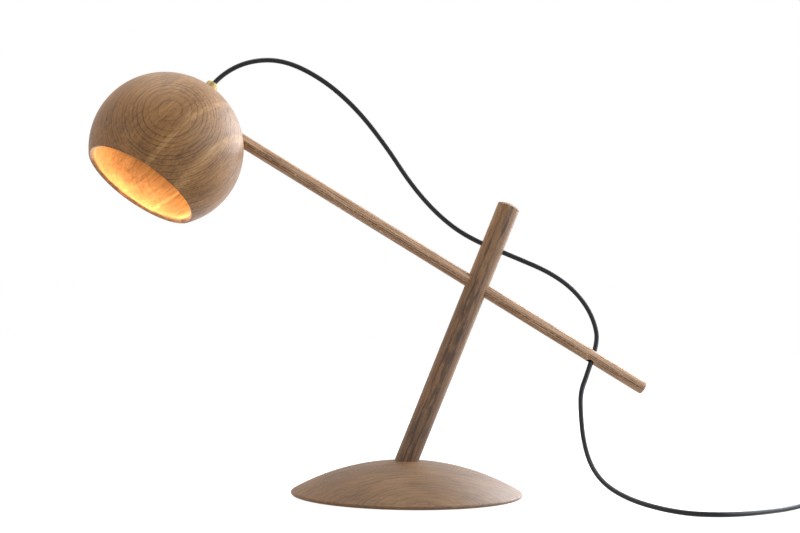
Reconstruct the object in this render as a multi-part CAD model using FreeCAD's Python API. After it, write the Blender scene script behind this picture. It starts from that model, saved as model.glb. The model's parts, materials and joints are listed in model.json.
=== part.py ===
import FreeCAD, Part
import math
import os

# Magnetic balance lamp, in millimetres. +Z is up, the table is z = 0, and the origin is the middle
# of the base's underside. The leaning post and the rod through it stand in the XZ plane. The turned
# shade hangs on the rod's upper end, towards -X, and the cord runs off past the rod's tail, +X.

V = FreeCAD.Vector

cut_margin = 1.0  # how far a cutting tool runs past the face that it opens

# Base
base_radius = 141.0
base_apex = 42.0  # top of the dome above the table
rim_gap = 0.8  # the rim hangs clear of the table, and the pad stands on it
rim_height = 5.0  # the dome's lower edge
rim_bulge = 2.0  # how far the rounded rim stands out past its foot
rim_set_back = 1.0  # how far the dome's edge lies inside the rim
pad_radius = 128.0
pad_thickness = 2.5
pad_clearance = 0.5
ballast_outer_radius = 100.0
ballast_inner_radius = 35.0
ballast_thickness = 14.0
ballast_clearance = 0.5
ballast_screw_count = 4
ballast_screw_circle = 67.5
ballast_screw_radius = 2.5
ballast_screw_head_radius = 5.0
ballast_screw_head_depth = 2.5
ballast_screw_grip = 12.0  # length of screw in the wood above the ballast

# Post
post_radius = 14.0
post_lean = 21.3  # degrees from upright, away from the shade
post_foot_x = -0.5  # where its axis leaves the dome
post_height = 339.1  # from the dome's top, along the post
post_tenon = 26.0  # glued into the dome
post_top_round = 2.4
post_top_crown = 3.3  # rise of its turned end above the edge
post_socket_clearance = 0.05
post_screw_radius = 3.5
post_screw_head_radius = 6.5
post_screw_head_thickness = 5.0
post_screw_grip = 42.0  # length of screw in the post
post_washer_radius = 8.0
post_washer_thickness = 1.5
post_floor = 7.0  # wood between the tenon and the washer
counterbore_clearance = 0.5
post_cord_hole_radius = 3.5
post_cord_hole_rise = 50.0  # above the rod's crossing, along the post

# Rod through the post
rod_radius = 8.0
rod_slope = 30.9  # degrees below level, going away from the shade
rod_roll = 19.8  # turn of rod and shade about the rod, opening towards -Y
rod_crossing = 230.2  # from the dome's top, along the post
rod_tail = 241.0  # from the crossing to the rod's lower end
rod_tail_round = 2.0
rod_end_chamfer = 0.5
rod_hole_clearance = 0.25
tail_hole_radius = 4.9
tail_hole_reach = 167.0  # from the crossing, towards the tail

# Friction bush in the post's bore
bush_radius = 9.0
bush_wall = 0.6
bush_upper_end = 9.0  # from the crossing, towards the shade
bush_length = 16.0
bush_end_clearance = 0.1
running_clearance = 0.05
keeper_ring_length = 2.0
keeper_ring_bore_clearance = 0.4

# Turned shade
shade_radius = 92.5
shade_wall = 6.5
mouth_depth = 56.0  # from the shade's centre to the middle of its lip
lip_edge_round = 1.5
shade_reach = 407.5  # from the crossing to the shade's middle, along the rod
rod_offset = 61.2  # the rod passes this far above the shade's centre
pole_boss_radius = 18.0
pole_boss_depth = 12.0  # thickness of wood at the pole
shade_rod_clearance = 0.3

# Magnetic socket in the shade
block_radius = 15.0
block_inner_end = 22.0  # from the shade's middle
block_wall_gap = 0.05
socket_floor = 36.0  # from the shade's middle
socket_air_gap = 0.1
socket_clearance = 0.08
keeper_radius = 7.8
keeper_thickness = 3.0
magnet_radius = 6.0
magnet_thickness = 4.0
holding_screw_radius = 1.5
holding_screw_head_radius = 3.0
holding_screw_head_depth = 1.6
holding_screw_length = 9.0

# Brass gland at the pole
collar_radius = 8.0
collar_height = 4.0
collar_round = 0.8
gland_radius = 7.6
gland_height = 9.4
gland_round = 2.2
gland_roof = 4.4
nipple_radius = 5.0
nipple_bore = 3.3
nipple_rise = 2.0  # above the collar
thread_clearance = 0.05
grip_height = 2.8
grip_bore = 3.25
gland_bore = 3.3
ring_nut_radius = 8.5
ring_nut_thickness = 3.0

# Lampholder and bulb
holder_gap = 2.0  # from the ring nut to the lampholder
holder_neck_radius = 8.5
holder_radius = 14.0
holder_wall = 1.8
holder_neck_height = 5.0
holder_taper = 7.0
holder_cap_skirt = 8.0
holder_body_length = 26.0
holder_body_overlap = 6.0
holder_fit = 0.1
insert_thickness = 7.0
shell_length = 15.0
shell_wall = 0.5
shell_clearance = 0.2
holder_contact_thickness = 1.0
bulb_cap_radius = 6.9
bulb_cap_length = 17.0
bulb_contact_radius = 2.6
bulb_contact_height = 2.0
bulb_neck_radius = 7.6
bulb_neck_length = 7.0
bulb_radius = 22.5
bulb_wall = 1.0

# Cord
cord_radius = 3.0
cord_inner_depth = 9.85  # the straight stretch inside ends this far below the gland's top
arc_share = 0.45  # of the shorter run, on each side of a bend
coil_centre = V(542.9, 15.0, 0.0)
coil_outer_turn = 34.9
coil_layers = 2
coil_turns_per_layer = 2
coil_round_share = 0.8  # rounding of the coil's edges, of the cord's radius

# Switch on the cord
switch_centre = V(503.9, -60.0, 0.0)
switch_heading = 41.9
switch_length = 66.0
switch_width = 24.0
switch_height = 15.0
switch_split = 6.5
switch_corner = 8.0
switch_edge_round = 1.6
switch_cavity_length = 44.0
switch_cavity_width = 15.0
switch_floor = 1.8
switch_roof = 2.2
switch_cord_clearance = 0.25
terminal_length = 6.0
terminal_width = 9.0
terminal_height = 6.0
rocker_radius = 9.6
rocker_width = 12.0
rocker_clearance = 0.35
rocker_axis_height = 10.5
rocker_rise = 5.2
rocker_valley = 4.2
rocker_depth = 3.4
rocker_tilt = 8.0  # degrees; the lamp is switched on
rocker_pin_radius = 0.8
rocker_pin_length = 18.0
pin_ear_length = 3.2
pin_ear_wall = 1.0  # past each end of the pin
pin_ear_drop = 2.0  # below the pin's axis
switch_screw_radius = 1.2
switch_screw_head_radius = 2.3
switch_screw_head_depth = 1.2
switch_screw_length = 11.0
switch_screw_x = 27.0
switch_screw_y = 7.0

# Two-pin plug
plug_start = V(570.9, 58.0, 0.0)
plug_heading = 106.0
plug_relief_length = 24.0
plug_relief_radius = 4.6
plug_relief_tip = 3.7
plug_length = 36.0
plug_width = 26.0
plug_front_width = 25.0
plug_rear_width = 13.0
plug_widest_from = 16.2  # from the body's rear
plug_widest_to = 25.2
plug_thickness = 14.0
plug_round = 2.0
pin_radius = 2.0
pin_length = 19.0
pin_spacing = 18.6
pin_sleeve_radius = 1.9
pin_sleeve_wall = 0.5
pin_sleeve_length = 10.0
pin_root = 8.0  # length of pin inside the plug
pin_tip_round = 1.2

# Axes and frames that follow from those sizes
lean = math.radians(post_lean)
slope = math.radians(rod_slope)
roll = math.radians(rod_roll)
post_axis = V(math.sin(lean), 0, math.cos(lean))
post_side = V(math.cos(lean), 0, -math.sin(lean))
post_foot = V(post_foot_x, 0, base_apex)
crossing = post_foot + post_axis * rod_crossing
rod_axis = V(-math.cos(slope), 0, math.sin(slope))
rod_upright = V(math.sin(slope), 0, math.cos(slope))
pole_axis = rod_upright * math.cos(roll) + V(0, 1, 0) * math.sin(roll)
shade_centre = crossing + rod_axis * shade_reach - pole_axis * rod_offset
rod_head = shade_reach - socket_floor - socket_air_gap
bush_lower_end = bush_upper_end - bush_length
bush_bore_radius = bush_radius + running_clearance
collar_seat = math.sqrt(shade_radius**2 - collar_radius**2)
collar_top = collar_seat + collar_height
gland_top = collar_top + gland_height
nipple_top = collar_top + nipple_rise
boss_face = collar_seat - pole_boss_depth
holder_top = boss_face - ring_nut_thickness - holder_gap
holder_cap_end = holder_top - holder_neck_height - holder_taper - holder_cap_skirt
holder_body_top = holder_cap_end + holder_body_overlap
holder_body_end = holder_body_top - holder_body_length
insert_face = holder_body_top - insert_thickness
bulb_contact_face = insert_face - holder_contact_thickness
bulb_cap_end = bulb_contact_face - bulb_contact_height - bulb_cap_length

coil_upper_layer = 3 * cord_radius

# The cord's route, in points chosen one by one. Each stretch starts where the one before it ends.
head_route = [
    V(-249.7, 11.8, 493.9),
    V(-239.3, 19.1, 511.3),
    V(-203.8, 17.5, 531.3),
    V(-159.2, 15.5, 533.4),
    V(-110.2, 13, 509.8),
    V(-67.2, 11, 473.0),
    V(-29.9, 8, 426.3),
    V(1.3, 6, 379.4),
    V(34.9, 4, 342.1),
    V(71.5, 0, 314.9),
    V(101.3, 0, 303.1),
]
middle_route = [
    V(101.3, 0, 303.1),
    V(135.6, 0, 289.3),
    V(167.9, 0, 276.1),
    V(195.2, 1, 259.4),
    V(216.5, 3, 237.5),
    V(229.6, 6, 213.4),
    V(234.1, 6.6, 189.4),
    V(226.4, 0, 170.7),
]
drop_route = [
    V(226.4, 0, 170.7),
    V(218.6, -7.5, 149.2),
    V(209.5, -15, 128.1),
    V(208.9, -25, 100.1),
    V(209.7, -42, 71.2),
    V(214.4, -66, 45.3),
    V(226.1, -94, 26.2),
    V(247.8, -121, 13.8),
    V(275.8, -144, 6.6),
    V(306.9, -162.5, cord_radius),
    V(340.9, -170, cord_radius),
    V(357.4, -165, cord_radius),
]
table_route = [
    V(357.4, -165, cord_radius),
    V(373.9, -160, cord_radius),
    V(406.9, -138.5, cord_radius),
    V(437.9, -113, cord_radius),
    V(471.1, -89.3, switch_split),
    V(487.5, -74.7, switch_split),
]
coil_route = [
    V(520.3, -45.3, switch_split),
    V(535.9, -31.3, switch_split),
    V(551.9, -21, cord_radius),
    V(566.0, -11.2, cord_radius),
]
plug_route = [
    V(577.8, 15, coil_upper_layer),
    V(577.4, 30, 8.4),
    V(574.9, 44, 7.6),
    V(570.9, 58, plug_thickness / 2),
]


def frame_at(origin, along, across):
    """A placement whose Z runs along one direction and whose X runs across it."""
    z_axis = V(along).normalize()
    x_axis = V(across).normalize()
    y_axis = z_axis.cross(x_axis)
    matrix = FreeCAD.Matrix(
        x_axis.x, y_axis.x, z_axis.x, origin.x,
        x_axis.y, y_axis.y, z_axis.y, origin.y,
        x_axis.z, y_axis.z, z_axis.z, origin.z,
        0, 0, 0, 1,
    )  # fmt: skip
    return FreeCAD.Placement(matrix)


def placed(shape, frame):
    """A copy of the shape, moved into a frame."""
    copy = shape.copy()
    copy.Placement = frame.multiply(copy.Placement)
    return copy


post_frame = frame_at(post_foot, post_axis, post_side)
rod_frame = frame_at(crossing, rod_axis, pole_axis)
shade_frame = frame_at(shade_centre, pole_axis, rod_axis * -1)


def heading_frame(origin, degrees):
    """A frame that lies on the table, with X towards a heading."""
    angle = math.radians(degrees)
    return frame_at(origin, V(0, 0, 1), V(math.cos(angle), math.sin(angle), 0))


switch_frame = heading_frame(switch_centre, switch_heading)
plug_frame = heading_frame(plug_start, plug_heading)


def disc(radius, low, high):
    """A round bar along Z between two heights."""
    return Part.makeCylinder(radius, high - low, V(0, 0, low))


def ring(outer, inner, low, high):
    """A round tube along Z between two heights."""
    return disc(outer, low, high).cut(disc(inner, low - cut_margin, high + cut_margin))


def bar(radius, start, end):
    """A round bar between two points."""
    reach = end - start
    return Part.makeCylinder(radius, reach.Length, start, reach)


def block(length, width, low, high):
    """A box centred on the Z axis between two heights."""
    return Part.makeBox(length, width, high - low, V(-length / 2, -width / 2, low))


def turned(edges):
    """A solid of revolution about Z from the edges of a closed outline in the XZ plane."""
    face = Part.Face(Part.Wire(edges))
    return face.revolve(V(0, 0, 0), V(0, 0, 1), 360)


def line(start, end):
    return Part.LineSegment(start, end).toShape()


def arc(start, through, end):
    return Part.Arc(start, through, end).toShape()


def crown_arc(edge, apex):
    """The profile of a dome, from a point on its rim up to a height on the Z axis."""
    rise = apex - edge.z
    curvature = (edge.x**2 + rise**2) / (2 * rise)
    half_angle = math.asin(edge.x / curvature) / 2
    through = V(curvature * math.sin(half_angle), 0, apex - curvature * (1 - math.cos(half_angle)))
    return arc(edge, through, V(0, 0, apex))


def polar(radius, degrees):
    """A point of the XZ plane, at an angle from +Z towards +X."""
    angle = math.radians(degrees)
    return V(radius * math.sin(angle), 0, radius * math.cos(angle))


def rounded_edges(solid, radius, keep):
    """The solid with the edges that keep() picks rounded over."""
    return solid.makeFillet(radius, [edge for edge in solid.Edges if keep(edge)])


def circle_at(height, radius):
    """Picks the edge that is a circle about Z at a height, of a radius."""

    def keep(edge):
        box = edge.BoundBox
        flat = abs(box.ZMin - height) < 1e-3 and abs(box.ZMax - height) < 1e-3
        return flat and abs(box.XMax - radius) < 1e-3 and abs(box.XMin + radius) < 1e-3

    return keep


def countersunk(radius, head_radius, head_depth, face, tip):
    """A countersunk screw along Z: its head is flush with one height, its tip lies at another."""
    towards = 1 if tip > face else -1
    head = Part.makeCone(head_radius, radius, head_depth, V(0, 0, face), V(0, 0, towards))
    return head.fuse(disc(radius, min(face, tip), max(face, tip)))


def holding_screw(face):
    """A small brass screw that holds a magnet or its keeper; its tip lies below its head."""
    return countersunk(
        holding_screw_radius,
        holding_screw_head_radius,
        holding_screw_head_depth,
        face,
        face - holding_screw_length,
    )


# Base


def dome_blank():
    edge = V(base_radius - rim_set_back, 0, rim_height)
    foot = V(base_radius - rim_bulge, 0, rim_gap)
    bulge = V(base_radius, 0, (rim_gap + rim_height) / 2)
    return turned(
        [
            line(V(0, 0, rim_gap), foot),
            arc(foot, bulge, edge),
            crown_arc(edge, base_apex),
            line(V(0, 0, base_apex), V(0, 0, rim_gap)),
        ]
    )


def ballast_screw_places():
    """The places of the ballast's screws, on the underside of the ballast."""
    turns = [2 * math.pi * (i + 0.5) / ballast_screw_count for i in range(ballast_screw_count)]
    return [
        V(ballast_screw_circle * math.cos(a), ballast_screw_circle * math.sin(a), pad_thickness)
        for a in turns
    ]


def ballast_screw():
    return countersunk(
        ballast_screw_radius,
        ballast_screw_head_radius,
        ballast_screw_head_depth,
        0,
        ballast_thickness + ballast_screw_grip,
    )


def ballast_screws():
    return Part.makeCompound(
        [ballast_screw().translated(place) for place in ballast_screw_places()]
    )


def post_screw():
    """The screw from below, in the post's frame, with its head under the washer."""
    seat = -post_tenon - post_floor - post_washer_thickness
    head = disc(post_screw_head_radius, seat - post_screw_head_thickness, seat)
    return head.fuse(disc(post_screw_radius, seat, -post_tenon + post_screw_grip))


def post_washer():
    top = -post_tenon - post_floor
    return ring(post_washer_radius, post_screw_radius, top - post_washer_thickness, top)


def base_dome():
    solid = dome_blank()
    solid = solid.cut(disc(pad_radius + pad_clearance, 0, pad_thickness))
    recess_top = pad_thickness + ballast_thickness
    solid = solid.cut(
        ring(
            ballast_outer_radius + ballast_clearance,
            ballast_inner_radius - ballast_clearance,
            pad_thickness - cut_margin,
            recess_top,
        )
    )
    solid = solid.cut(ballast_screws())
    socket = disc(post_radius + post_socket_clearance, -post_tenon, base_apex)
    counterbore = disc(
        post_washer_radius + counterbore_clearance, -base_apex * 2, -post_tenon - post_floor
    )
    for tool in (socket, counterbore, post_screw()):
        solid = solid.cut(placed(tool, post_frame))
    return solid


def base_ballast():
    solid = ring(
        ballast_outer_radius,
        ballast_inner_radius,
        pad_thickness,
        pad_thickness + ballast_thickness,
    )
    return solid.cut(ballast_screws())


def base_pad():
    return disc(pad_radius, 0, pad_thickness)


# Post


def post():
    shoulder = post_height - post_top_crown
    foot = V(post_radius, 0, -post_tenon)
    edge = V(post_radius, 0, shoulder)
    blank = turned(
        [
            line(V(0, 0, -post_tenon), foot),
            line(foot, edge),
            crown_arc(edge, post_height),
            line(V(0, 0, post_height), V(0, 0, -post_tenon)),
        ]
    )
    blank = rounded_edges(blank, post_top_round, circle_at(shoulder, post_radius))
    blank = blank.cut(post_screw())
    hole_height = rod_crossing + post_cord_hole_rise
    half = V(post_radius * 2, 0, 0)
    blank = blank.cut(
        bar(post_cord_hole_radius, V(0, 0, hole_height) - half, V(0, 0, hole_height) + half)
    )
    solid = placed(blank, post_frame)
    reach = post_radius * 2
    snug = disc(rod_radius + rod_hole_clearance, 0, reach)
    bore = disc(bush_bore_radius, -reach, bush_upper_end + bush_end_clearance)
    return solid.cut(placed(snug, rod_frame)).cut(placed(bore, rod_frame))


def bush_keeper():
    """A ring pressed into the post behind the bush."""
    high = bush_lower_end - bush_end_clearance
    inner = rod_radius + keeper_ring_bore_clearance
    return placed(ring(bush_bore_radius, inner, high - keeper_ring_length, high), rod_frame)


# Bush


def rod_bush():
    shell = ring(bush_radius, bush_radius - bush_wall, bush_lower_end, bush_upper_end)
    return placed(shell, rod_frame)


def bush_liner():
    bore = rod_radius + running_clearance
    lining = ring(bush_radius - bush_wall, bore, bush_lower_end, bush_upper_end)
    return placed(lining, rod_frame)


# Rod


def rod_magnet():
    """A countersunk disc magnet, let into the rod's upper end."""
    blank = disc(magnet_radius, rod_head - magnet_thickness, rod_head)
    return blank.cut(holding_screw(rod_head))


def rod():
    blank = disc(rod_radius, -rod_tail, rod_head)
    blank = rounded_edges(blank, rod_tail_round, circle_at(-rod_tail, rod_radius))
    top = [edge for edge in blank.Edges if circle_at(rod_head, rod_radius)(edge)]
    blank = blank.makeChamfer(rod_end_chamfer, top)
    blank = blank.cut(disc(magnet_radius, rod_head - magnet_thickness, rod_head + cut_margin))
    blank = blank.cut(holding_screw(rod_head))
    half = V(rod_radius * 2, 0, 0)
    hole = V(0, 0, -tail_hole_reach)
    return blank.cut(bar(tail_hole_radius, hole - half, hole + half))


# Shade, in a frame with its centre at the origin, its pole along +Z and the rod along X


def lip_edge(face_radius, centre_radius, lip):
    """Three points along the rounding between a face of the ball and its square-cut lip."""
    turn = math.asin(lip_edge_round / centre_radius)
    start = lip - math.degrees(turn)
    on_face = polar(face_radius, start)
    on_lip = polar(centre_radius * math.cos(turn), lip)
    centre = polar(centre_radius, start)
    outward = ((on_face + on_lip) * 0.5 - centre).normalize()
    return on_face, centre + outward * lip_edge_round, on_lip


def shade():
    inner = shade_radius - shade_wall
    middle = shade_radius - shade_wall / 2
    lip = 180 - math.degrees(math.acos(mouth_depth / middle))
    outer_edge = lip_edge(shade_radius, shade_radius - lip_edge_round, lip)
    inner_edge = lip_edge(inner, inner + lip_edge_round, lip)
    solid = turned(
        [
            arc(polar(shade_radius, 0), polar(shade_radius, lip / 2), outer_edge[0]),
            arc(*outer_edge),
            line(outer_edge[2], inner_edge[2]),
            arc(*inner_edge),
            arc(inner_edge[0], polar(inner, lip / 2), polar(inner, 0)),
            line(polar(inner, 0), polar(shade_radius, 0)),
        ]
    )
    boss = disc(pole_boss_radius, boss_face, shade_radius)
    solid = solid.fuse(boss.common(Part.makeSphere(inner + shade_wall / 2)))
    collar_hole = disc(collar_radius + thread_clearance, collar_seat, shade_radius + cut_margin)
    solid = solid.cut(collar_hole)
    solid = solid.cut(disc(nipple_radius + thread_clearance, 0, shade_radius))
    mouth = V(socket_floor, 0, rod_offset)
    return solid.cut(bar(rod_radius + shade_rod_clearance, mouth, V(shade_radius, 0, rod_offset)))


def along_rod(shape):
    """Turns a piece that runs along Z so that it runs along the rod inside the shade."""
    return placed(shape, frame_at(V(0, 0, rod_offset), V(1, 0, 0), V(0, 0, 1)))


def socket_block():
    """The oak block inside the shade that takes the rod's end."""
    blank = along_rod(disc(block_radius, block_inner_end, shade_radius))
    blank = blank.common(Part.makeSphere(shade_radius - shade_wall - block_wall_gap))
    bore = along_rod(disc(rod_radius + socket_clearance, socket_floor, shade_radius))
    seat = along_rod(disc(keeper_radius, socket_floor - keeper_thickness, socket_floor))
    return blank.cut(bore).cut(seat).cut(along_rod(holding_screw(socket_floor)))


def socket_keeper():
    blank = disc(keeper_radius, socket_floor - keeper_thickness, socket_floor)
    return along_rod(blank.cut(holding_screw(socket_floor)))


def shade_collar():
    blank = disc(collar_radius, collar_seat, collar_top)
    blank = rounded_edges(blank, collar_round, circle_at(collar_top, collar_radius))
    bore = nipple_radius + thread_clearance
    return blank.cut(disc(bore, collar_seat - cut_margin, collar_top + cut_margin))


def gland_cap():
    blank = disc(gland_radius, collar_top, gland_top)
    blank = rounded_edges(blank, gland_round, circle_at(gland_top, gland_radius))
    blank = blank.cut(disc(nipple_radius + thread_clearance, collar_top, gland_top - gland_roof))
    return blank.cut(disc(gland_bore, collar_top, gland_top + cut_margin))


def cord_grip():
    """A nylon ring in the gland that holds the cord."""
    return ring(nipple_radius, grip_bore, nipple_top, nipple_top + grip_height)


def nipple():
    return ring(nipple_radius, nipple_bore, holder_top - holder_neck_height, nipple_top)


def ring_nut():
    low = boss_face - ring_nut_thickness
    return ring(ring_nut_radius, nipple_radius + thread_clearance, low, boss_face)


def inner_cord():
    """The straight stretch of cord in the nipple, from the lampholder's insert to the gland."""
    return disc(cord_radius, holder_body_top, gland_top - cord_inner_depth)


# Lampholder and bulb


def holder_cap():
    neck_end = holder_top - holder_neck_height
    skirt_top = neck_end - holder_taper
    outside = [
        V(0, 0, holder_top),
        V(holder_neck_radius, 0, holder_top),
        V(holder_neck_radius, 0, neck_end),
        V(holder_radius, 0, skirt_top),
        V(holder_radius, 0, holder_cap_end),
        V(holder_radius - holder_wall, 0, holder_cap_end),
        V(holder_radius - holder_wall, 0, skirt_top),
        V(nipple_radius, 0, neck_end),
        V(0, 0, neck_end),
    ]
    closed = outside + outside[:1]
    solid = turned([line(a, b) for a, b in zip(closed, closed[1:])])
    bore = nipple_radius + thread_clearance
    return solid.cut(disc(bore, neck_end - cut_margin, holder_top + cut_margin))


def holder_body():
    """The lower cup of the lampholder, screwed into its cap, with a lip round the insert."""
    inside = holder_radius - holder_wall
    neck = ring(inside - holder_fit, inside - holder_wall, holder_cap_end, holder_body_top)
    cup = ring(holder_radius, inside - holder_wall, holder_body_end, holder_cap_end)
    return neck.fuse(cup)


def holder_insert():
    radius = holder_radius - 2 * holder_wall
    return disc(radius, insert_face, holder_body_top)


def shell_outer_radius():
    return bulb_cap_radius + shell_clearance + shell_wall


def holder_shell():
    """The threaded sleeve that the bulb screws into, hanging from the insert."""
    outer = shell_outer_radius()
    return ring(outer, outer - shell_wall, insert_face - shell_length, insert_face)


def holder_contact():
    return disc(bulb_contact_radius, bulb_contact_face, insert_face)


def bulb_contact():
    low = bulb_contact_face - bulb_contact_height
    return disc(bulb_contact_radius, low, bulb_contact_face)


def bulb_cap():
    return disc(bulb_cap_radius, bulb_cap_end, bulb_contact_face - bulb_contact_height)


def bulb_glass():
    """A hollow round bulb with a short neck that stands on the cap."""
    neck_end = bulb_cap_end - bulb_neck_length
    centre = neck_end - math.sqrt(bulb_radius**2 - bulb_neck_radius**2)
    ball = Part.makeSphere(bulb_radius, V(0, 0, centre))
    outside = ball.fuse(disc(bulb_neck_radius, centre, bulb_cap_end))
    hollow = Part.makeSphere(bulb_radius - bulb_wall, V(0, 0, centre))
    hollow = hollow.fuse(disc(bulb_neck_radius - bulb_wall, centre, bulb_cap_end - bulb_wall))
    return outside.cut(hollow)


# Cord


def cord_path(points):
    """Straight runs joined by tangent arcs, and the arcs' radii."""
    edges = []
    radii = []
    last = points[0]
    for before, corner, after in zip(points, points[1:], points[2:]):
        run_in = corner - before
        run_out = after - corner
        setback = arc_share * min(run_in.Length, run_out.Length)
        turn = run_in.getAngle(run_out)
        inward = V(run_in).normalize()
        outward = V(run_out).normalize()
        start = corner - inward * setback
        end = corner + outward * setback
        radius = setback / math.tan(turn / 2)
        bisector = (outward - inward).normalize()
        through = corner + bisector * (radius / math.cos(turn / 2) - radius)
        edges += [line(last, start), arc(start, through, end)]
        radii.append(radius)
        last = end
    edges.append(line(last, points[-1]))
    return Part.Wire(edges), radii


def cord_tube(name, points):
    """The round cord along a route; prints its radii and how its volume compares."""
    path, radii = cord_path(points)
    section = Part.Wire([Part.Circle(points[0], points[1] - points[0], cord_radius).toShape()])
    solid = path.makePipeShell([section], True, False)
    ideal = math.pi * cord_radius**2 * path.Length
    print(
        f"{name}: length {path.Length:.1f}, volume ratio {solid.Volume / ideal:.5f},"
        f" radii {[round(radius) for radius in radii]}"
    )
    return solid


def cord_coil():
    """The outer shape of the wound cord: its turns lie beside and on each other."""
    outer = coil_outer_turn + cord_radius
    inner = outer - 2 * cord_radius * coil_turns_per_layer
    blank = ring(outer, inner, 0, 2 * cord_radius * coil_layers)
    return blank.makeFillet(cord_radius * coil_round_share, blank.Edges).translated(coil_centre)


# Switch, in a frame with X along the cord and Z up from the table


def switch_hull(low, high):
    blank = block(switch_length, switch_width, 0, switch_height)
    upright = [edge for edge in blank.Edges if edge.BoundBox.ZLength > switch_height / 2]
    blank = blank.makeFillet(switch_corner, upright)
    flat = [edge for edge in blank.Edges if edge.BoundBox.ZLength < 1e-3]
    blank = blank.makeFillet(switch_edge_round, flat)
    return blank.common(block(switch_length, switch_width, low, high))


def switch_cord_hole():
    half = V(switch_length, 0, 0)
    axis = V(0, 0, switch_split)
    return bar(cord_radius + switch_cord_clearance, axis - half, axis + half)


def switch_screws():
    screws = []
    for side in (1, -1):
        screw = countersunk(
            switch_screw_radius,
            switch_screw_head_radius,
            switch_screw_head_depth,
            0,
            switch_screw_length,
        )
        screws.append(screw.translated(V(side * switch_screw_x, side * switch_screw_y, 0)))
    return Part.makeCompound(screws)


def switch_base():
    solid = switch_hull(0, switch_split)
    solid = solid.cut(
        block(switch_cavity_length, switch_cavity_width, switch_floor, switch_height)
    )
    return solid.cut(switch_cord_hole()).cut(switch_screws())


def rocker_pin():
    half = V(0, rocker_pin_length / 2, 0)
    axis = V(0, 0, rocker_axis_height)
    return bar(rocker_pin_radius, axis - half, axis + half)


def switch_cover():
    solid = switch_hull(switch_split, switch_height)
    roof = switch_height - switch_roof
    solid = solid.cut(block(switch_cavity_length, switch_cavity_width, 0, roof))
    window_length = 2 * (rocker_radius + rocker_clearance)
    window_width = rocker_width + 2 * rocker_clearance
    solid = solid.cut(block(window_length, window_width, 0, switch_height + cut_margin))
    ear_width = rocker_pin_length + 2 * pin_ear_wall
    ears = block(pin_ear_length, ear_width, rocker_axis_height - pin_ear_drop, roof)
    ears = ears.cut(block(window_length, window_width, 0, switch_height))
    solid = solid.fuse(ears)
    return solid.cut(switch_cord_hole()).cut(switch_screws()).cut(rocker_pin())


def rocker():
    """The rocker, tilted about its pin, with a shallow valley along its top."""
    half = rocker_width / 2
    drum = bar(rocker_radius, V(0, -half, rocker_axis_height), V(0, half, rocker_axis_height))
    outline = [
        V(-rocker_radius, 0, -rocker_depth),
        V(rocker_radius, 0, -rocker_depth),
        V(rocker_radius, 0, rocker_rise),
        V(0, 0, rocker_valley),
        V(-rocker_radius, 0, rocker_rise),
    ]
    closed = outline + outline[:1]
    face = Part.Face(Part.Wire([line(a, b) for a, b in zip(closed, closed[1:])]))
    prism = face.extrude(V(0, rocker_width, 0)).translated(V(0, -half, rocker_axis_height))
    axis = V(0, 0, rocker_axis_height)
    reach = V(0, rocker_width, 0)
    solid = drum.common(prism).cut(
        bar(rocker_pin_radius + running_clearance, axis - reach, axis + reach)
    )
    solid.rotate(axis, V(0, 1, 0), rocker_tilt)
    return solid


def switch_terminals():
    """Two brass blocks at the cavity's ends, where the cord's ends are clamped."""
    centre = (switch_cavity_length - terminal_length) / 2
    low = switch_split - terminal_height / 2
    terminal = block(terminal_length, terminal_width, low, low + terminal_height)
    return Part.makeCompound([terminal.translated(V(side * centre, 0, 0)) for side in (1, -1)])


# Plug, in a frame with X from the cord towards the pins


def plug_axis_point(distance, side=0.0):
    return V(distance, side, plug_thickness / 2)


def plug_relief():
    return Part.makeCone(
        plug_relief_tip,
        plug_relief_radius,
        plug_relief_length,
        plug_axis_point(0),
        V(1, 0, 0),
    )


def plug_body():
    rear = plug_relief_length
    front = rear + plug_length
    outline = [
        V(rear, -plug_rear_width / 2, 0),
        V(rear + plug_widest_from, -plug_width / 2, 0),
        V(rear + plug_widest_to, -plug_width / 2, 0),
        V(front, -plug_front_width / 2, 0),
        V(front, plug_front_width / 2, 0),
        V(rear + plug_widest_to, plug_width / 2, 0),
        V(rear + plug_widest_from, plug_width / 2, 0),
        V(rear, plug_rear_width / 2, 0),
    ]
    closed = outline + outline[:1]
    face = Part.Face(Part.Wire([line(a, b) for a, b in zip(closed, closed[1:])]))
    blank = face.extrude(V(0, 0, plug_thickness))
    blank = blank.makeFillet(plug_round, blank.Edges)
    return blank.cut(plug_pins())


def plug_pin_pair(radius, start, end):
    pair = []
    for side in (1, -1):
        offset = side * pin_spacing / 2
        pair.append(bar(radius, plug_axis_point(start, offset), plug_axis_point(end, offset)))
    return pair


def plug_neck_cores(front):
    """The pins' slim metal inside their sleeves, a little longer than the sleeves."""
    radius = pin_sleeve_radius - pin_sleeve_wall
    end = front + pin_sleeve_length + cut_margin
    return plug_pin_pair(radius, front - cut_margin, end)


def plug_pins():
    front = plug_relief_length + plug_length
    pins = []
    for pin in plug_pin_pair(pin_radius, front - pin_root, front + pin_length):
        tip = [edge for edge in pin.Edges if edge.BoundBox.XMin > front + pin_length - 1e-3]
        pins.append(pin.makeFillet(pin_tip_round, tip))
    necks = plug_pin_pair(pin_radius + cut_margin, front, front + pin_sleeve_length)
    cores = plug_neck_cores(front)
    slim = []
    for pin, neck, core in zip(pins, necks, cores):
        slim.append(pin.cut(neck.cut(core)))
    return Part.makeCompound(slim)


def plug_sleeves():
    """The insulating sleeves at the roots of the pins."""
    front = plug_relief_length + plug_length
    outer = plug_pin_pair(pin_sleeve_radius, front, front + pin_sleeve_length)
    pairs = zip(outer, plug_neck_cores(front))
    return Part.makeCompound([sleeve.cut(core) for sleeve, core in pairs])


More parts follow.
